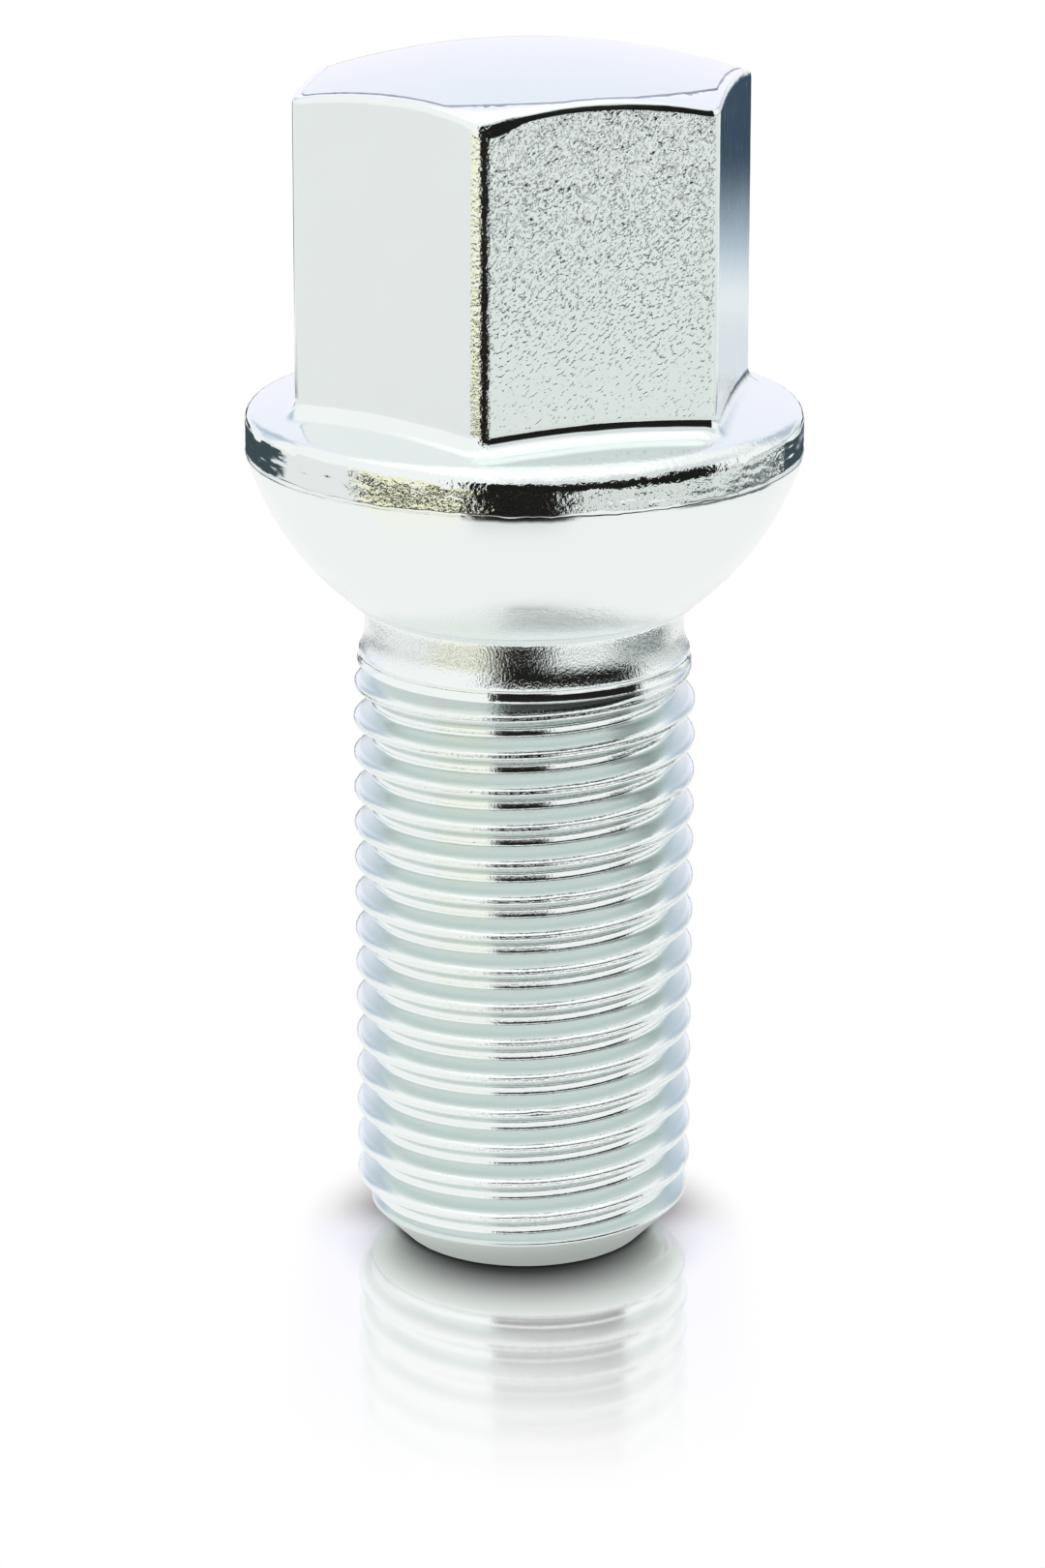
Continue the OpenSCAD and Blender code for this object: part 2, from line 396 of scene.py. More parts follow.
def neckRows(h, angle, wide, mid, fine):
    # Ring, neck and lips
    uneven, rows = h["uneven"], h["rows"]

    # a jagged step at the foot of the ball, and the ring below it
    foot = h["ballRadius"] * math.cos(math.asin((h["ballCentre"] - h["ballFoot"]) / h["ballRadius"]))
    jag = 0.5 + 0.5 * fine(40)
    for inward, down, jagged in h["step"]:
        yield foot - inward, h["ballFoot"] - down - jagged * jag, "ring"
    inward, down, outward = h["ring"]
    ringFoot, ringTop = h["neckRadius"] + outward, foot - inward
    for share in rows["ring"]:
        z = h["ballFoot"] - down + (h["neckTop"] - h["ballFoot"] + down) * share
        yield ringTop + (ringFoot - ringTop) * share, z, "ring"
    yield h["neckRadius"] + h["neckEdge"][0], h["neckTop"] - h["neckEdge"][1], "neck"
    span = h["neckTop"] - h["flareTop"]
    for share in rows["neck"]:
        yield h["neckRadius"] + uneven["neck"] * mid(5 * share), h["neckTop"] - span * share, "neck"

    # the neck widens to a rolled lip, with a second one above the thread
    for down in rows["flare"]:
        out = h["flareRadius"] - math.sqrt(h["flareRadius"] ** 2 - down**2)
        yield h["neckRadius"] + out + uneven["flare"] * fine(9 * down), h["flareTop"] - down, "neck"
    for down, out in h["lips"]:
        yield h["neckRadius"] + out + uneven["lip"] * fine(9 * down), h["flareTop"] - down, "lip"


def headRows(h, angle):
    # Rows of (radius, height, zone) from the dome's middle down to the neck
    fields = [roundField(*h["fields"][name], angle) for name in ("wide", "mid", "fine")]
    ones = np.ones_like(angle)
    return [(radius * ones, height * ones, zone) for part in (hexagonRows, flangeRows, neckRows)
            for radius, height, zone in part(h, angle, *fields)]


def threadRadius(t, h, angle, z):
    # Thread form with rounded crest and root, faded into the neck and cut by the tip's chamfer
    phase = (z - t["firstCrest"]) / t["pitch"] - (angle + 90) / 360
    above = ((phase + 0.5) % 1 - 0.5) * t["pitch"]
    w = np.abs(above)
    upper = np.clip(above / t["sideChange"] + 0.5, 0, 1)
    depth = t["crestRadius"] - t["rootRadius"]
    flank = t["pitch"] / 2 - t["crestHalf"] - t["rootHalf"]
    line = t["crestRadius"] - depth * (w - t["crestHalf"]) / flank
    below, over = t["crestRounding"]
    full = softMin(line, t["crestRadius"] + 0 * line, below + (over - below) * upper)
    below, over = t["rootRounding"]
    full = softMax(full, t["rootRadius"] + 0 * line, below + (over - below) * upper)
    ragged = roundField(*t["seamField"], angle)(z / t["pitch"])
    mean, swing = t["seamShare"]
    seam = np.clip(mean + swing * ragged, 0, 1) * np.exp(-((w / t["seamHalf"]) ** 2))
    share = np.clip((h["fadeEnd"] - z) / (t["fadeTurns"] * t["pitch"]), 0, 1)
    full = full - t["seamDepth"] * seam * share**2
    waves = roundField(*t["waveField"], angle)(z / t["pitch"])
    full = full + t["waveHeight"] * waves * np.exp(-((w / t["waveHalf"]) ** 2))
    nickWide, nickTall = t["nickSize"]
    for place, turnAt, deep in t["nicks"]:
        aside = degreesFrom(angle, place)
        up = z - t["firstCrest"] - t["pitch"] * (turnAt + (place + 90) / 360 + aside / 360)
        full = full - deep * np.exp(-((aside / nickWide) ** 2) - (up / nickTall) ** 2)
    faded = t["blankRadius"] + (full - t["blankRadius"]) * np.sqrt(share)
    return softMin(faded, t["tipRadius"] + z, t["tipRounding"])


def addHead(h, verts, faces, zones):
    # Adds the rows from the dome down to the neck, and returns the lowest one as (angle, point)
    angle = headAngles(h)
    rows = headRows(h, angle)
    count = len(angle)
    middleZ = h["top"] - h["domeRadius"] + math.sqrt(h["domeRadius"] ** 2 - h["domeShift"] ** 2)
    verts.append((0.0, 0.0, middleZ))
    a = np.radians(angle)
    for r, z, _ in rows:
        verts.extend(zip(r * np.cos(a), r * np.sin(a), z))
    for j in range(count):
        faces.append((0, 1 + j, 1 + (j + 1) % count))
        zones.append("dome")
    for i in range(len(rows) - 1):
        row, below = 1 + i * count, 1 + (i + 1) * count
        for j in range(count):
            k = (j + 1) % count
            faces.append((row + j, below + j, below + k, row + k))
            zones.append(rows[i + 1][2])
    return [(x % 360, 1 + (len(rows) - 1) * count + j) for j, x in enumerate(angle)]


def addThread(t, h, verts, faces, zones):
    # Rows climb with the helix, and stop at the flat tip and at the neck.
    # Returns the loops round the tip and round the neck as (angle, point).
    columns, pitch, top = t["columns"], t["pitch"], t["joinHeight"] - t["joinGap"]
    steps = np.array(t["rows"])
    turn = np.concatenate([steps, pitch - steps[::-1][1:-1]])  # up from one crest to the next
    perTurn = len(turn)
    start = t["firstCrest"] - 2 * pitch
    turns = math.ceil((top - start) / pitch) + 1
    total = perTurn * turns + 1
    col = np.arange(columns)
    degrees = 360 * col / columns - 90
    offsets = np.array([turn[i % perTurn] + (i // perTurn) * pitch for i in range(total)])
    z = start + offsets[:, None] + pitch * col[None, :] / columns
    low, high = z < t["snap"], z > top - t["snap"]
    z = np.clip(z, 0, top)
    radius = threadRadius(t, h, degrees[None, :], z)
    radius[low] = t["tipRadius"] - t["tipEdge"]
    number = -np.ones((total, columns), int)
    bottom, upper = [], []
    for j in range(columns):
        c, s = math.cos(math.radians(degrees[j])), math.sin(math.radians(degrees[j]))
        lastLow, firstHigh = low[:, j].sum() - 1, total - high[:, j].sum()
        for i in range(lastLow, firstHigh + 1):
            number[i, j] = len(verts)
            verts.append((radius[i, j] * c, radius[i, j] * s, z[i, j]))
        number[:lastLow, j], number[firstHigh + 1:, j] = number[lastLow, j], number[firstHigh, j]
        bottom.append(number[lastLow, j])
        upper.append((degrees[j] % 360, number[firstHigh, j]))

    def onChamfer(loop):
        cone = t["tipRadius"] - t["tipMargin"]
        return (max(verts[v][2] for v in loop) < t["tipTop"]
                and all(math.hypot(*verts[v][:2]) > verts[v][2] + cone for v in loop))

    def addQuad(*quad, mayBeTip=True):
        loop = [int(v) for k, v in enumerate(quad) if v != quad[k - 1]]
        if len(set(loop)) >= 3 and len(set(loop)) == len(loop):
            faces.append(tuple(loop))
            zones.append("tip" if mayBeTip and onChamfer(loop) else "thread")

    # the last column meets the first one a turn higher up
    last = columns - 1
    for j in range(columns):
        for i in range(total - 1):
            if j < last:
                addQuad(number[i, j], number[i, j + 1], number[i + 1, j + 1], number[i + 1, j])
            elif i + perTurn + 1 < total:
                addQuad(number[i, j], number[i + perTurn, 0], number[i + perTurn + 1, 0], number[i + 1, j])
            else:
                addQuad(number[i, j], number[total - 1, 0], number[total - 1, 0], number[i + 1, j])
    # rows below the first turn there
    for i in range(perTurn):
        addQuad(number[0, last], number[i, 0], number[i + 1, 0], number[0, last], mayBeTip=False)
    return bottom, upper


def addTip(loop, verts, faces, zones):
    centre = len(verts)
    verts.append((0.0, 0.0, 0.0))
    for j, point in enumerate(loop):
        faces.append((centre, loop[(j + 1) % len(loop)], point))
        zones.append("end")


def stitch(above, below, faces, zones):
    # Joins two loops of (angle, point) that have different numbers of points
    above, below = sorted(above), sorted(below)
    above.append((above[0][0] + 360, above[0][1]))
    below.append((below[0][0] + 360, below[0][1]))
    i = j = 0
    while i < len(above) - 1 or j < len(below) - 1:
        if j == len(below) - 1 or (i < len(above) - 1 and above[i + 1][0] <= below[j + 1][0]):
            faces.append((above[i][1], below[j][1], above[i + 1][1]))
            i += 1
        else:
            faces.append((above[i][1], below[j][1], below[j + 1][1]))
            j += 1
        zones.append("neck")


def boltMesh(h, t):
    verts, faces, zones = [], [], []
    neckLoop = addHead(h, verts, faces, zones)
    tipLoop, threadLoop = addThread(t, h, verts, faces, zones)
    addTip(tipLoop, verts, faces, zones)
    stitch(neckLoop, threadLoop, faces, zones)
    return verts, faces, zones


verts, faces, zones = boltMesh(head, thread)
mesh = bpy.data.meshes.new("wheelBolt")
mesh.from_pydata([(x * mm, y * mm, z * mm) for x, y, z in verts], [], faces)
mesh.update()
bolt = bpy.data.objects.new("wheelBolt", mesh)
bpy.context.scene.collection.objects.link(bolt)
mesh.shade_smooth()
print("bolt mesh:", len(verts), "points,", sum(len(f) - 2 for f in faces), "triangles")


def addMask(name, values):
    layer = mesh.attributes.new(name, "FLOAT", "POINT")
    layer.data.foreach_set("value", np.asarray(values, np.float32))


# Where crests and flanks lie, told to the thread's material point by point
spots = np.array(verts)
spotAngle = np.degrees(np.arctan2(spots[:, 1], spots[:, 0]))
crestPhase = (spots[:, 2] - thread["firstCrest"]) / thread["pitch"] - (spotAngle + 90) / 360
fromCrest = ((crestPhase + 0.5) % 1 - 0.5) * thread["pitch"]
midFlank = thread["pitch"] / 4
between = np.abs(np.abs(fromCrest) - midFlank) > midFlank - 0.005  # right on a crest or in a root
addMask("crest", np.abs(fromCrest))  # mm from the crest's middle
addMask("upper", np.where(between, 0.5, fromCrest > 0))  # 1 on the upper flank, 0 on the lower one


# Plated steel
finishes = {
    "tint": (0.885, 0.93, 0.92),
    "fade": 0.975,  # how much darker the plating is in places
    "unevenRough": (0.7, 1.3),  # the least and the most of a zone's roughness
    "zones": {
        # peel: even unevenness (size mm, height um), speck: fine grain (size mm, height um),
        # streak: height um, pits: (size mm, depth um)
        "dome": {"rough": 0.12, "peel": (0.9, 0.6), "speck": (0.12, 0.2)},
        # the chamfer's brighter, whiter tint is a painted highlight along the hexagon's top edge
        "chamfer": {"rough": 0.10, "peel": (0.9, 0.6), "speck": (0.12, 0.2), "tint": (0.985, 0.99, 0.985)},
        # the fold's dark blue-grey tint is painted shade in the crease where the dome meets the chamfer
        "fold": {"rough": 0.25, "peel": (0.5, 1.0), "speck": (0.10, 3.0), "tint": (0.36, 0.41, 0.49)},
        "flat": {"rough": 0.14, "peel": (0.6, 0.5), "speck": (0.10, 0.2), "streak": 1.2},
        "side": {"rough": 0.07, "peel": (0.6, 0.5), "speck": (0.10, 1.2), "streak": 12.0},
        "pitted": {"rough": 0.05, "peel": (0.7, 5.0), "speck": (0.12, 3.0), "pits": (0.13, 22.0),
                   "tint": (0.925, 0.975, 0.97)},
        "corner": {"rough": 0.05, "peel": (0.5, 12.0), "speck": (0.16, 24.0)},
        "band": {"rough": 0.05, "peel": (0.6, 12.0), "speck": (0.19, 20.0)},
        "rim": {"rough": 0.06, "peel": (0.8, 3.0), "speck": (0.12, 0.6)},
        "ball": {"rough": 0.14, "peel": (0.8, 0.6), "speck": (0.09, 1.5)},
        "ballFoot": {"rough": 0.11, "peel": (0.5, 1.0), "speck": (0.09, 15.0)},
        "ring": {"rough": 0.1, "peel": (0.5, 1.0), "speck": (0.11, 6.0), "tint": (0.77, 0.83, 0.82)},
        "neck": {"rough": 0.06, "peel": (0.5, 3.0), "speck": (0.09, 18.0)},
        "lip": {"rough": 0.08, "peel": (0.5, 1.0), "speck": (0.11, 6.0)},
        "thread": {"rough": 0.05, "peel": (0.5, 1.0), "speck": (0.10, 3.0)},
        "tip": {"rough": 0.2, "peel": (0.5, 1.0), "speck": (0.09, 1.0), "streak": 1.5,
                "tint": (0.83, 0.93, 0.87)},
    },
    # parts of the mesh that take another one's finish
    "sameAs": {"edge": "dome", "foot": "dome", "flange": "dome", "trim": "rim", "end": "tip"},
    # degrees at which the rough corner starts, the pitted face, the bright side face, and its end
    "faceStarts": (-122.4, -117.9, -60.2, -2.0),
    "faceTop": 47.9,  # mm, above which the pitted face and its corner are bright
    "roughBand": (-147.0, -44.0),  # degrees between which the band is rough
    # pits lean to one side, as the blank was pressed
    "pitLean": 40,  # degrees
    "pitLong": 1.8,  # times as long as wide
    "pitEdge": (0.53, 0.68),  # levels of the noise between which the side of a pit lies
    "pitPatch": (0.9, (0.35, 0.62), (0.5, 1.3)),  # size in mm, levels of the noise, shares of the depth there
    "pitClimb": ((37.5, 45.5), (0.22, 1.35)),  # heights in mm, and shares of the depth there
    "pitCloser": (0.6, 0.10),  # the share at which pits are as close as usual, and how much closer above it
    "streakScale": (9, 9, 0.35),  # long streaks along the axis
    # rolled flanks of the thread: duller and rougher from here to here, in mm from the crest's middle; their
    # darker, greener tint is painted shade between the turns
    "flankTint": (0.725, 0.80, 0.785),
    "flankRough": 0.24,
    "flankStart": (0.2, 0.3),
    "flankEnd": (0.52, 0.6),
    "flankLower": 0.13,  # the lower flank's rougher, darker part ends this much sooner
    "brightGrain": 1.5,  # more grain on crests and in roots
    # ragged seam in a crest: size, level, half width in mm, its fade in mm and its depth in um
    "seam": (0.16, 0.46, 0.4, (-0.01, 0.02), 6.0),
}


def node(tree, kind, links=(), **values):
    n = tree.nodes.new(kind)
    for name, value in values.items():
        if name in n.inputs:
            n.inputs[name].default_value = value
        else:
            setattr(n, name, value)
    for socket, source in links:
        tree.links.new(source, n.inputs[socket])
    return n


def mathNode(tree, operation, a, b):
    n = node(tree, "ShaderNodeMath", operation=operation)
    for k, value in enumerate((a, b)):
        if isinstance(value, (int, float)):
            n.inputs[k].default_value = value
        else:
            tree.links.new(value, n.inputs[k])
    return n.outputs[0]


def mapRange(tree, value, source, target=(0.0, 1.0), smooth=True):
    n = node(tree, "ShaderNodeMapRange", [("Value", value)],
             interpolation_type="SMOOTHSTEP" if smooth else "LINEAR",
             **{"From Min": source[0], "From Max": source[1], "To Min": target[0], "To Max": target[1]})
    return n.outputs[0]


def noise(tree, vector, size, detail=2.0):
    n = node(tree, "ShaderNodeTexNoise", [("Vector", vector)], Scale=1 / size, Detail=detail, Roughness=0.55)
    return n.outputs["Fac"]


def pitsIn(t, coords, size, depth):
    # Depth of the pits, which are deeper and closer in patches, and towards the top of the face
    f = finishes
    apart = node(t, "ShaderNodeSeparateXYZ", [("Vector", coords)])
    flat = node(t, "ShaderNodeCombineXYZ", [("X", apart.outputs["X"]), ("Y", apart.outputs["Z"])])
    lean = node(t, "ShaderNodeMapping", [("Vector", flat.outputs[0])], vector_type="TEXTURE",
                Rotation=(0, 0, math.radians(f["pitLean"])), Scale=(f["pitLong"], 1, 1))
    patchSize, source, target = f["pitPatch"]
    patchy = mapRange(t, noise(t, coords, patchSize, 3.0), source, target, smooth=False)
    climb = mapRange(t, apart.outputs["Z"], *f["pitClimb"], smooth=False)
    usual, more = f["pitCloser"]
    closer = mathNode(t, "MULTIPLY", mathNode(t, "SUBTRACT", climb, usual), more)
    dense = mathNode(t, "ADD", noise(t, lean.outputs[0], size, 1.5), closer)
    deep = mathNode(t, "MULTIPLY", mathNode(t, "MULTIPLY", patchy, climb), depth)
    return mathNode(t, "MULTIPLY", mapRange(t, dense, f["pitEdge"]), deep)


def threadDullnessAndShade(t, far):
    # 1 on the rolled flanks, which are rougher than the crests and roots, and darker by a tint that is
    # painted shade between the turns
    flank = mapRange(t, far, finishes["flankStart"])
    upper = node(t, "ShaderNodeAttribute", attribute_name="upper").outputs["Fac"]
    lower = mathNode(t, "SUBTRACT", 1.0, upper)
    rootward = mathNode(t, "ADD", far, mathNode(t, "MULTIPLY", lower, finishes["flankLower"]))
    return mathNode(t, "MULTIPLY", flank, mapRange(t, rootward, finishes["flankEnd"], (1.0, 0.0)))


def threadSeam(t, coords, far):
    # Depth of the ragged seam that rolling leaves in a crest
    size, level, width, fade, depth = finishes["seam"]
    reach = mathNode(t, "MULTIPLY", mathNode(t, "SUBTRACT", noise(t, coords, size, 3.0), level), width)
    seam = mapRange(t, mathNode(t, "SUBTRACT", reach, far), fade, smooth=False)
    return mathNode(t, "MULTIPLY", seam, depth)


def platedMaterial(name, zone):
    m = bpy.data.materials.new(name)
    m.use_nodes = True
    t = m.node_tree
    shader = t.nodes["Principled BSDF"]
    shader.inputs["Metallic"].default_value = 1.0
    place = node(t, "ShaderNodeTexCoord").outputs["Object"]
    inMm = node(t, "ShaderNodeVectorMath", [(0, place)], operation="SCALE")
    inMm.inputs["Scale"].default_value = 1 / mm
    coords = inMm.outputs[0]

    peelSize, peelHeight = zone["peel"]
    speckSize, speckHeight = zone["speck"]
    speck = mathNode(t, "MULTIPLY", noise(t, coords, speckSize), speckHeight)
    height = mathNode(t, "ADD", mathNode(t, "MULTIPLY", noise(t, coords, peelSize), peelHeight), speck)
    if "pits" in zone:
        height = mathNode(t, "SUBTRACT", height, pitsIn(t, coords, *zone["pits"]))
    if "streak" in zone:
        long = node(t, "ShaderNodeMapping", [("Vector", coords)], Scale=finishes["streakScale"])
        streak = mathNode(t, "MULTIPLY", noise(t, long.outputs[0], 1.0, 3.0), zone["streak"])
        height = mathNode(t, "ADD", height, streak)

    tint = zone.get("tint", finishes["tint"])
    colour = node(t, "ShaderNodeValToRGB", [("Fac", noise(t, coords, 3.0))])
    colour.color_ramp.elements[0].color = (*(c * finishes["fade"] for c in tint), 1)
    colour.color_ramp.elements[1].color = (*tint, 1)
    base = colour.outputs[0]
    roughness = mapRange(t, noise(t, coords, 1.5), (0.0, 1.0),
                         [zone["rough"] * share for share in finishes["unevenRough"]], smooth=False)

    if name == "thread":
        far = node(t, "ShaderNodeAttribute", attribute_name="crest").outputs["Fac"]
        dullnessAndShade = threadDullnessAndShade(t, far)
        # the flanks' darker, greener tint is painted shade between the thread's turns
        flankShadeMix = node(t, "ShaderNodeMix", [("Factor", dullnessAndShade)], data_type="RGBA")
        t.links.new(base, flankShadeMix.inputs[6])
        flankShadeMix.inputs[7].default_value = (*finishes["flankTint"], 1)
        base = flankShadeMix.outputs[2]
        bright = mathNode(t, "SUBTRACT", 1.0, dullnessAndShade)
        grain = mathNode(t, "MULTIPLY", bright, mathNode(t, "MULTIPLY", speck, finishes["brightGrain"]))
        height = mathNode(t, "SUBTRACT", mathNode(t, "ADD", height, grain), threadSeam(t, coords, far))
        extra = mathNode(t, "MULTIPLY", dullnessAndShade, finishes["flankRough"] - zone["rough"])
        roughness = mathNode(t, "ADD", roughness, extra)

    bump = node(t, "ShaderNodeBump", [("Height", height)], Strength=1.0, Distance=1e-6)  # heights are in um
    t.links.new(bump.outputs[0], shader.inputs["Normal"])
    t.links.new(base, shader.inputs["Base Color"])
    t.links.new(roughness, shader.inputs["Roughness"])
    return m


def finishOf(zone, spot):
    # Finish of a face of the mesh, by its part and its place
    degrees = math.degrees(math.atan2(spot.y, spot.x))
    cornerStart, pittedStart, sideStart, sideEnd = finishes["faceStarts"]
    bandStart, bandEnd = finishes["roughBand"]
    if zone in ("flat", "edge", "foot"):
        if cornerStart < degrees < sideStart and spot.z < finishes["faceTop"] * mm:
            if degrees < pittedStart:
                return "corner"
            return "pitted" if zone == "flat" else "rim"
        if sideStart < degrees < sideEnd:
            return "side"
    if zone == "band" and not bandStart < degrees < bandEnd:
        return "rim"
    return finishes["sameAs"].get(zone, zone)


names = list(finishes["zones"])
for name in names:
    mesh.materials.append(platedMaterial(name, finishes["zones"][name]))
for face, zone in zip(mesh.polygons, zones):
    face.material_index = names.index(finishOf(zone, face.center))
print("finishes:", ", ".join(names))

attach(bolt, "root")
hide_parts("wheel_bolt")


# Studio: a white floor, white all round, and dark, cream and slate cards for the metal to show
studio = {
    "ambient": 0.98,
    # the room behind the bolt, from overhead to the horizon
    "room": ((0.49, (1.0, 1.0, 1.0)), (0.62, (0.86, 0.91, 1.02)), (0.95, (0.97, 0.955, 1.05))),
    "roomDip": 0.1,  # its tints are centred a little below level
    "cardLift": (0.3, 0.1),  # height of the first card, and of each next one above it, in mm
    "shownOnce": ("blackFront",),  # shows in the bolt, but not in the floor's image of it
    "cards": {
        # colour, softness in mm, then stations of (degrees right of the camera, inner, outer) in mm,
        # and the degrees over which the ends fade, where that is more than usual
        "paleLeft": ((0.87, 0.875, 0.875), 20, ((-126, 105, 900), (-66, 105, 900))),
        "paleRight": ((0.76, 0.80, 0.77), 15, ((18, 105, 330), (84, 105, 330))),
        "paleSide": ((0.80, 0.83, 0.81), 15, ((86, 105, 500), (128, 105, 500))),
        "blackFront": ((0.012, 0.012, 0.010), 16, ((-19, 46, 330), (8, 46, 330), (15, 48, 330)), 6),
        "oliveLeft": ((0.05, 0.05, 0.022), 5, ((-68, 110, 153), (-50, 110, 153), (-23, 106, 153))),
        "creamLeft": ((1.0, 0.96, 0.67), 5, ((-68, 153, 330), (-23, 153, 330))),
        "creamNear": ((1.0, 0.985, 0.88), 12, ((-64, 40, 106), (-27, 40, 106))),
        "darkRing": ((0.03, 0.03, 0.03), 2,
                     ((-138, 103, 112), (-60, 103, 112), (0, 103, 111), (78, 103, 108))),
        "darkLeft": ((0.05, 0.055, 0.06), 12, ((-178, 180, 420), (-148, 180, 420))),
        "slateRight": ((0.05, 0.075, 0.085), 5, ((92, 118, 133), (105, 116, 138), (118, 116, 144),
                                                 (130, 114, 150), (150, 112, 152), (166, 112, 150))),
        "slateLeft": ((0.05, 0.075, 0.085), 5, ((194, 116, 152), (236, 116, 154), (246, 120, 148))),
        "greyRight": ((0.08, 0.115, 0.115), 10, ((68, 66, 110), (116, 66, 110))),
        "paleBack": ((0.74, 0.80, 0.84), 10, ((148, 140, 172), (172, 140, 172))),
        "blueBack": ((0.62, 0.74, 0.85), 20, ((148, 182, 420), (172, 182, 420))),
        "slateBack": ((0.045, 0.075, 0.115), 31, ((149, 205, 420), (160, 201, 420), (171, 205, 420))),
    },
    "screens": {
        # colour, from and to in degrees, distance, foot and top in mm, softness in degrees
        "blackScreen": ((0.012, 0.012, 0.010), -23, 86, 335, 0, 220, 1.5),
        "greyAbove": ((0.76, 0.79, 0.79), 0, 110, 345, 200, 400, 10),
        "greySide": ((0.60, 0.64, 0.64), 88, 150, 340, 0, 50, 8),
        "blueLeft": ((0.52, 0.60, 0.69), -150, -132, 340, 75, 290, 8),
        "blueRight": ((0.52, 0.60, 0.69), 126, 150, 340, 75, 290, 8),
    },
    # share of a screen's height, and how much it covers there; one that stands on the floor covers down to it
    "screenFade": ((0, 0), (0.1, 1), (0.86, 1), (0.9, 0.8), (0.94, 0.45), (0.97, 0.15), (1.0, 0)),
    "softbox": (0.55, 0.5, 0.15),  # side and height in m, and its glow beside the world's white
}


def glowMaterial(name, colour):
    m = bpy.data.materials.new(name)
    m.use_nodes = True
    t = m.node_tree
    t.nodes.clear()
    out = node(t, "ShaderNodeOutputMaterial")
    glow = node(t, "ShaderNodeEmission", Color=(*colour, 1))
    clear = node(t, "ShaderNodeBsdfTransparent")
    cover = node(t, "ShaderNodeAttribute", attribute_name="cover").outputs["Fac"]
    if name in studio["shownOnce"]:
        first = mathNode(t, "LESS_THAN", node(t, "ShaderNodeLightPath").outputs["Glossy Depth"], 1.5)
        cover = mathNode(t, "MULTIPLY", cover, first)
    mix = node(t, "ShaderNodeMixShader", [(0, cover), (1, clear.outputs[0]), (2, glow.outputs[0])])
    t.links.new(mix.outputs[0], out.inputs[0])
    return m


def makeCard(name, points, faces, cover, colour):
    data = bpy.data.meshes.new(name)
    data.from_pydata(points, [], faces)
    layer = data.attributes.new("cover", "FLOAT", "POINT")
    layer.data.foreach_set("value", np.asarray(cover, np.float32))
    data.materials.append(glowMaterial(name, colour))
    card = bpy.data.objects.new(name, data)
    bpy.context.scene.collection.objects.link(card)
    card.visible_camera = card.visible_diffuse = card.visible_shadow = card.visible_transmission = False
    return card


def gridFaces(rows, columns):
    return [(i * columns + j, i * columns + j + 1, (i + 1) * columns + j + 1, (i + 1) * columns + j)
            for i in range(rows - 1) for j in range(columns - 1)]


def floorCard(name, lift, colour, soft, stations, edge=4.0):
    # A ring sector that lies on the floor and fades over its softness, and over edge at its ends
    side, inner, outer = (np.array(x, float) for x in zip(*stations))
    angles = np.linspace(side[0] - edge, side[-1] + edge, 60)
    ends = np.clip((angles - side[0] + edge) / edge, 0, 1)
    ends = ends * np.clip((side[-1] + edge - angles) / edge, 0, 1)
    steps = np.linspace(-soft, soft, 9)
    fade = (steps + soft) / (2 * soft)
    fade = fade * fade * (3 - 2 * fade)
    points, cover = [], []
    for a, end in zip(angles, ends):
        turn = math.radians(a + front)
        lowR, highR = np.interp(a, side, inner), np.interp(a, side, outer)
        along = np.concatenate([lowR + steps, highR + steps])
        share = np.concatenate([fade, fade[::-1]])
        for r, c in zip(along, share):
            points.append((r * mm * math.cos(turn), r * mm * math.sin(turn), lift * mm))
            cover.append(c * end)
    return makeCard(name, points, gridFaces(len(angles), 2 * len(steps)), cover, colour)


def standingCard(name, colour, fromSide, toSide, far, foot, top, soft):
    heights, shares = zip(*studio["screenFade"])
    heights = foot + (top - foot) * np.array(heights)
    shares = (1 if foot == 0 else 0, *shares[1:])
    points, cover = [], []
    angles = np.linspace(fromSide - soft, toSide + soft, 60)
    for a in angles:
        turn = math.radians(a + front)
        side = min(1, (a - fromSide + soft) / (2 * soft), (toSide + soft - a) / (2 * soft))
        for z, share in zip(heights, shares):
            points.append((far * mm * math.cos(turn), far * mm * math.sin(turn), z * mm))
            cover.append(share * side)
    return makeCard(name, points, gridFaces(len(angles), len(heights)), cover, colour)


firstLift, nextLift = studio["cardLift"]
for k, (name, values) in enumerate(studio["cards"].items()):
    floorCard(name, firstLift + nextLift * k, *values)
for name, values in studio["screens"].items():
    standingCard(name, *values)
print("cards set up")


# Floor: distances from the bolt's axis in mm
floorSpec = {
    "reach": 3.0,  # m to each side
    "cells": 8,
    "grey": 0.93,
    "rough": 0.9,
    "shadow": (6.0, 9.5),  # over which the shadow ends
    # dimmings: from and to, how bright it is at the start, and for some a centre, this far ahead and right
    "paintedContactShadow": (4.95, 6.3, 0.06),  # darkest right at the tip: a painted shadow where the bolt stands
    # a wider, softer painted shadow round the bolt's foot
    "paintedShadowHalo": (5.0, 9.5, 0.75),
    # painted shadow over the floor's mirror image, darkest a little in front of the tip
    "mirrorPaintedShadow": (2.0, 7.8, 0.05, 3.0, 0.0),
    "metalShadow": (5.0, 11.0, 0.42, 0.0, 1.5),
    "toMetal": 0.97,  # how bright the floor shows in the metal
    "polishStart": (4.9, 5.6),
    "polishEnd": (6.0, 27.0),
    "polish": 0.75,
    "polishRough": 0.07,
    "polishWidth": (7.4, 10.0),  # to each side
    "polishAhead": (-2.0, 2.0),  # it lies in front of the bolt only
}


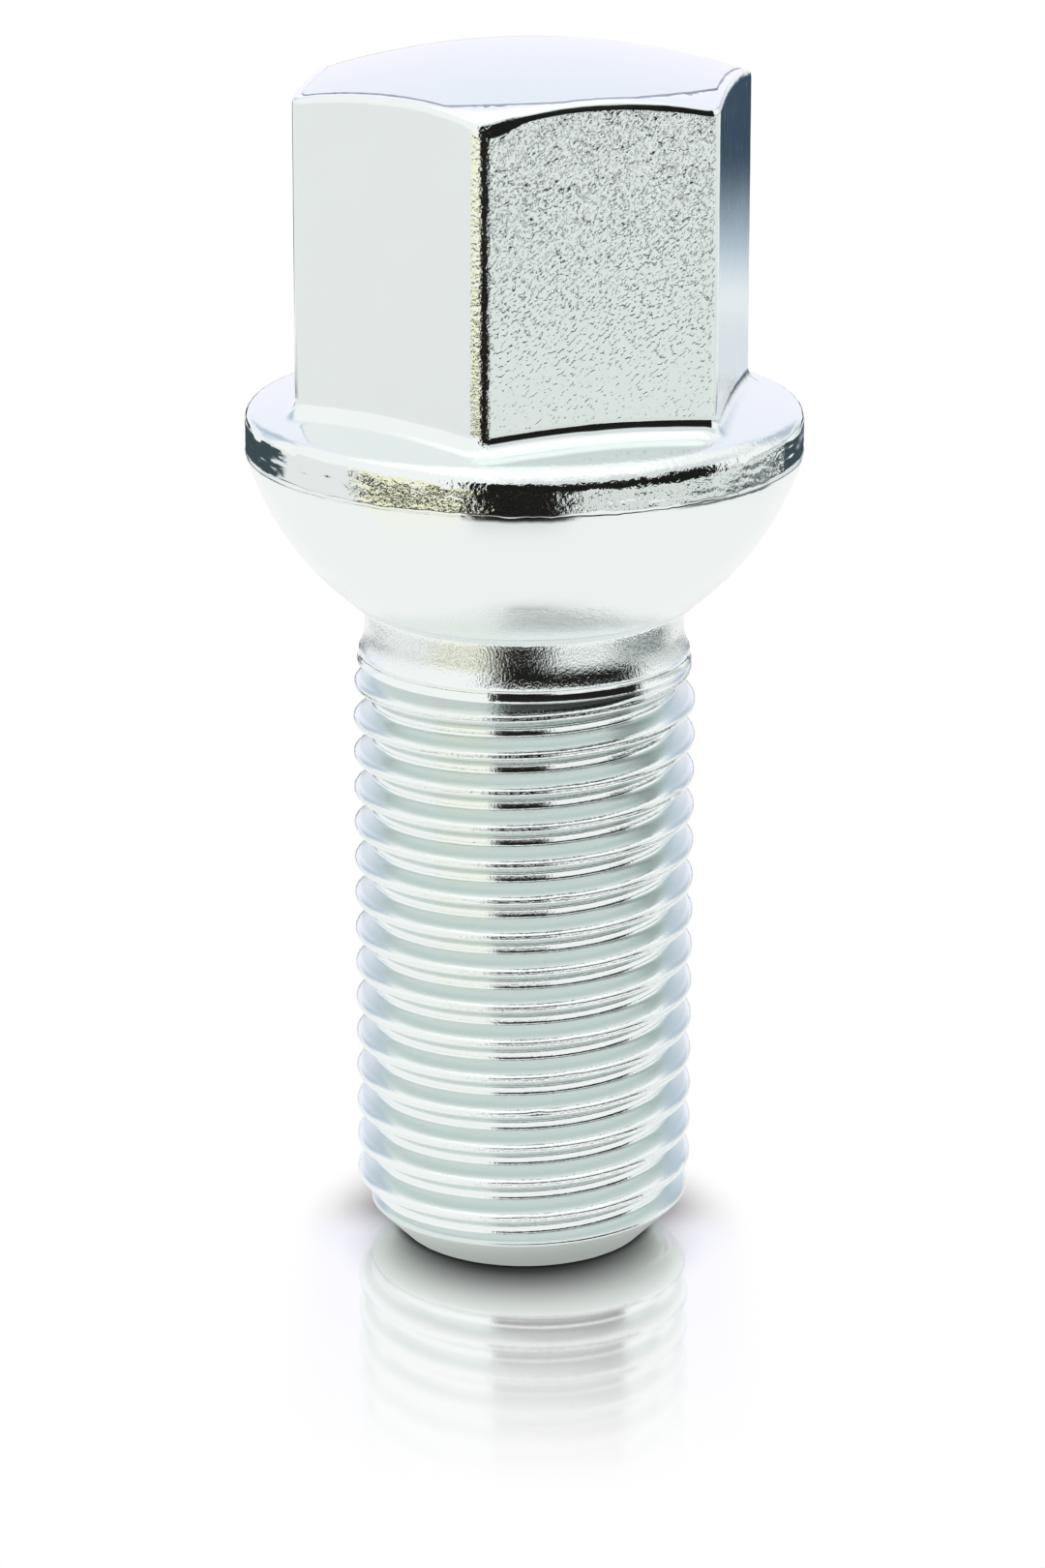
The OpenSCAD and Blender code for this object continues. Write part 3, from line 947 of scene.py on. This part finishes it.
def makeFloor(f):
    n, reach = f["cells"], f["reach"]
    lines = [reach * (2 * i / n - 1) for i in range(n + 1)]
    data = bpy.data.meshes.new("floor")
    data.from_pydata([(x, y, 0) for x in lines for y in lines], [], gridFaces(n + 1, n + 1))
    m = bpy.data.materials.new("whiteFloor")
    m.use_nodes = True
    t = m.node_tree
    shader = t.nodes["Principled BSDF"]
    shader.inputs["Roughness"].default_value = f["rough"]
    shader.inputs["Specular IOR Level"].default_value = 0.0
    path = node(t, "ShaderNodeLightPath")
    place = node(t, "ShaderNodeTexCoord").outputs["Object"]
    ahead = math.radians(front)

    def inMm(limits):
        return [limit * mm for limit in limits]

    def ramp(limits, target, forward=0.0, aside=0.0):
        x = forward * math.cos(ahead) - aside * math.sin(ahead)
        y = forward * math.sin(ahead) + aside * math.cos(ahead)
        moved = node(t, "ShaderNodeVectorMath", [(0, place)], operation="SUBTRACT")
        moved.inputs[1].default_value = (x * mm, y * mm, 0)
        far = node(t, "ShaderNodeVectorMath", [(0, moved.outputs[0])], operation="LENGTH").outputs["Value"]
        return mapRange(t, far, inMm(limits), target)

    def along(degrees, limits):
        # 0 to 1 between the limits, measured this way from the axis
        turn = math.radians(front + degrees)
        out = node(t, "ShaderNodeVectorMath", [(0, place)], operation="DOT_PRODUCT")
        out.inputs[1].default_value = (math.cos(turn), math.sin(turn), 0)
        return mapRange(t, out.outputs["Value"], inMm(limits))

    def dimming(name):
        start, stop, low, *centre = f[name]
        return ramp((start, stop), (low, 1.0), *centre)

    def blend(share, a, b):
        return node(t, "ShaderNodeMixShader", [(0, share), (1, a), (2, b)]).outputs[0]

    def greyOf(value):
        channels = [(channel, value) for channel in ("Red", "Green", "Blue")]
        return node(t, "ShaderNodeCombineColor", channels).outputs[0]

    def white(level):
        return node(t, "ShaderNodeEmission", Color=(level, level, level, 1)).outputs[0]

    def both(a, b):
        return mathNode(t, "MULTIPLY", a, b)

    # the floor's grey, darkened round the foot by the two painted shadows above
    grey = both(both(dimming("paintedContactShadow"), dimming("paintedShadowHalo")), f["grey"])
    t.links.new(greyOf(grey), shader.inputs["Base Color"])
    # white beyond the bolt's shadow, to the camera and to the metal
    seen = path.outputs["Is Camera Ray"]
    look = blend(both(ramp(f["shadow"], (0, 1)), seen), shader.outputs[0], white(1.0))
    # a polished patch that mirrors the foot of the bolt and fades outwards
    # the mirror image is darkened near the tip by a painted shadow
    mirrorColour = greyOf(dimming("mirrorPaintedShadow"))
    gloss = node(t, "ShaderNodeBsdfGlossy", [("Color", mirrorColour)], Roughness=f["polishRough"])
    share = both(ramp(f["polishStart"], (0, 1)), ramp(f["polishEnd"], (f["polish"], 0)))
    for degrees in (90, -90):
        share = both(share, mathNode(t, "SUBTRACT", 1.0, along(degrees, f["polishWidth"])))
    share = both(share, along(0, f["polishAhead"]))
    look = blend(both(share, seen), look, gloss.outputs[0])
    toMetal = mathNode(t, "MAXIMUM", path.outputs["Is Glossy Ray"], path.outputs["Is Transmission Ray"])
    look = blend(both(dimming("metalShadow"), toMetal), look, white(f["toMetal"]))
    t.links.new(look, t.nodes["Material Output"].inputs[0])
    data.materials.append(m)
    floor = bpy.data.objects.new("floor", data)
    bpy.context.scene.collection.objects.link(floor)
    return floor


def makeWorld(s):
    # White to the camera, and the room's pale tints to the metal
    world = bpy.data.worlds.new("studio")
    bpy.context.scene.world = world
    world.use_nodes = True
    t = world.node_tree
    path = node(t, "ShaderNodeLightPath")
    seen = mathNode(t, "MAXIMUM", path.outputs["Is Camera Ray"], path.outputs["Is Glossy Ray"])
    seen = mathNode(t, "MAXIMUM", seen, path.outputs["Is Transmission Ray"])
    strength = mapRange(t, seen, (0.0, 1.0), (s["ambient"], 1.0), smooth=False)
    turn = math.radians(front)
    view = node(t, "ShaderNodeTexCoord").outputs["Generated"]
    back = node(t, "ShaderNodeVectorMath", [(0, view)], operation="DOT_PRODUCT")
    back.inputs[1].default_value = (-math.cos(turn), -math.sin(turn), -s["roomDip"])
    room = node(t, "ShaderNodeValToRGB", [("Fac", back.outputs["Value"])])
    steps = room.color_ramp.elements
    while len(steps) < len(s["room"]):
        steps.new(0.5)
    for step, (place, colour) in zip(steps, s["room"]):
        step.position, step.color = place, (*colour, 1)
    shade = node(t, "ShaderNodeMix", [("Factor", path.outputs["Is Glossy Ray"])], data_type="RGBA")
    shade.inputs[6].default_value = (1, 1, 1, 1)
    t.links.new(room.outputs[0], shade.inputs[7])
    sky = t.nodes["Background"]
    t.links.new(shade.outputs[2], sky.inputs["Color"])
    t.links.new(strength, sky.inputs["Strength"])
    return world


def makeSoftbox(size, lift, glow):
    lamp = bpy.data.lights.new("softbox", "AREA")
    lamp.shape = "SQUARE"
    lamp.size = size
    lamp.energy = glow * math.pi * size * size
    box = bpy.data.objects.new("softbox", lamp)
    box.location = (0, 0, lift)
    bpy.context.scene.collection.objects.link(box)
    return box


makeFloor(floorSpec)
makeWorld(studio)
makeSoftbox(*studio["softbox"])
bpy.context.scene.cycles.caustics_reflective = False
bpy.context.scene.view_settings.view_transform = "Standard"
print("studio ready")
